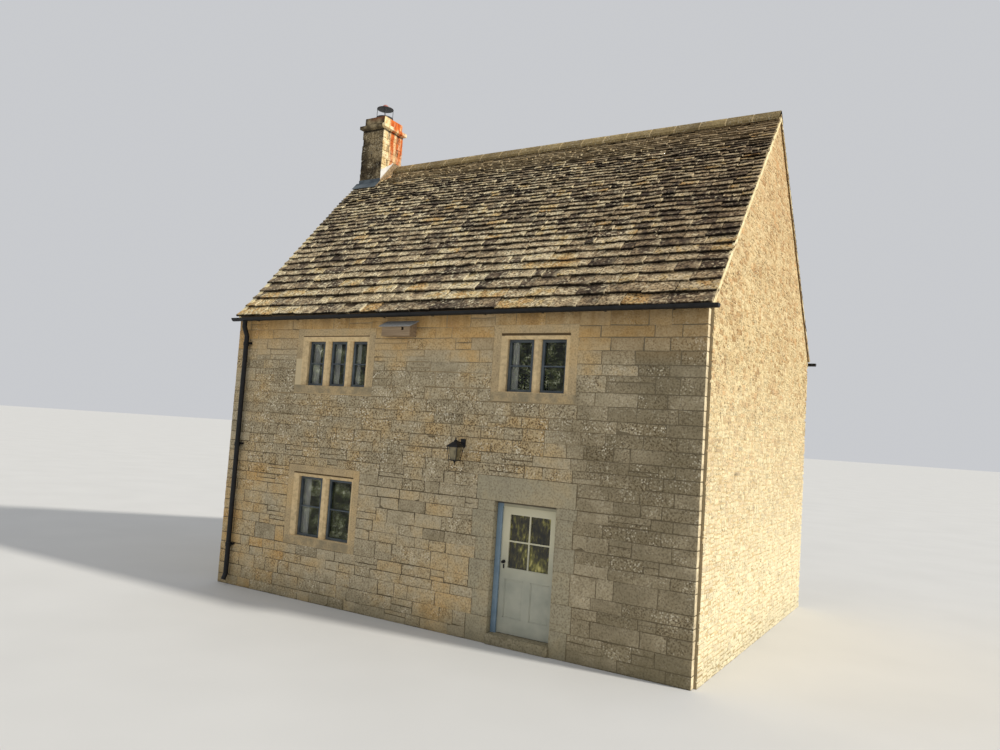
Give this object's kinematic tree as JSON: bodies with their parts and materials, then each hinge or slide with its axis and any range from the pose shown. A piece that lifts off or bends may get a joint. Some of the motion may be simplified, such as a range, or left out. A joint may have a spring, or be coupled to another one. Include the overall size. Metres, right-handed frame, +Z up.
{
  "type": "stone-roofed cottage",
  "caption": "Two-storey stone cottage with a steep stone-slate roof, gable chimney with cowl, mullioned windows, gutters and a half-glazed door that opens inwards.",
  "frame": {"origin": "middle of the cottage's box on the ground, at the foot of the walls", "axes": "+X along the front wall to the right as seen from the door side, +Y into the house from the front to the back, +Z up"},
  "size_m": [9.295, 7.574, 10.49],
  "materials": {
    "wall_stone": "coursed squared limestone, weathered, thin lime mortar",
    "gable_stone": "random rubble limestone, cream and honey",
    "dressed_stone": "smooth sawn and dressed limestone with worn arrises",
    "stone_slate": "split stone slates with lichen",
    "ridge_stone": "sawn stone ridge with pale joints",
    "chimney_stone": "weathered ashlar with soot, lichen and rust-coloured streaks",
    "lead": "dull weathered lead sheet",
    "timber": "plain sawn timber",
    "floor_stone": "stone flags",
    "casement_paint": "slate-blue paint",
    "frame_paint": "blue-grey painted timber",
    "door_paint": "pale sage painted timber",
    "window_glass": "clear window glass, dark behind",
    "curtain_cloth": "plain pale curtain cloth, hung in folds",
    "lantern_glass": "lamp glass",
    "black_iron": "black painted iron",
    "cowl_metal": "sooted dark metal, rusty on top",
    "nest_board": "weathered grey-brown board",
    "lid_felt": "grey mineral felt"
  },
  "bodies": {
    "house": {"ground_floor": "floor_stone", "upper_floor": "timber", "front_wall_lower_left": "wall_stone", "front_wall_lower_right": "wall_stone", "front_wall_over_door": "dressed_stone", "front_wall_upper_left": "wall_stone", "front_wall_upper_right": "wall_stone", "back_wall_lower": "gable_stone", "back_wall_upper_left": "gable_stone", "back_wall_upper_right": "gable_stone", "gable_wall_left": "gable_stone", "gable_wall_right": "gable_stone", "roof_front": "stone_slate", "roof_back": "stone_slate", "ridge_tiles": "ridge_stone", "ridge_beam": "timber", "purlin_front": "timber", "purlin_back": "timber", "chimney_stack": "chimney_stone", "chimney_cap": "chimney_stone", "chimney_cowl": "cowl_metal", "chimney_flashing": "lead", "window_ground_left_surround": "dressed_stone", "window_ground_left_casements": "casement_paint", "window_ground_left_glass": "window_glass", "window_upper_left_surround": "dressed_stone", "window_upper_left_casements": "casement_paint", "window_upper_left_glass": "window_glass", "window_upper_right_surround": "dressed_stone", "window_upper_right_casements": "casement_paint", "window_upper_right_glass": "window_glass", "back_window_ground_left_surround": "dressed_stone", "back_window_ground_left_casements": "casement_paint", "back_window_ground_left_glass": "window_glass", "back_window_upper_left_surround": "dressed_stone", "back_window_upper_left_casements": "casement_paint", "back_window_upper_left_glass": "window_glass", "back_window_upper_right_surround": "dressed_stone", "back_window_upper_right_casements": "casement_paint", "back_window_upper_right_glass": "window_glass", "curtain_ground_left": "curtain_cloth", "curtain_upper_left_first": "curtain_cloth", "curtain_upper_left_middle": "curtain_cloth", "curtain_upper_left_last": "curtain_cloth", "curtain_upper_right": "curtain_cloth", "door_step": "dressed_stone", "door_frame": "frame_paint", "gutter_front": "black_iron", "gutter_back": "black_iron", "downpipe_front": "black_iron", "downpipe_back": "black_iron", "wall_lantern": "black_iron", "lantern_glass": "lantern_glass", "nest_box": "nest_board", "nest_box_lid": "lid_felt"},
    "door": {"door_leaf": "door_paint", "door_glass": "window_glass", "door_knob": "black_iron"}
  },
  "joints": [
    {"name": "door_hinge", "type": "hinge", "parent": "house", "child": "door", "pos_m": [2.3715, -3.2707, 1.1], "axis": [0, 0, -1], "range_deg": [0, 90]}
  ]
}
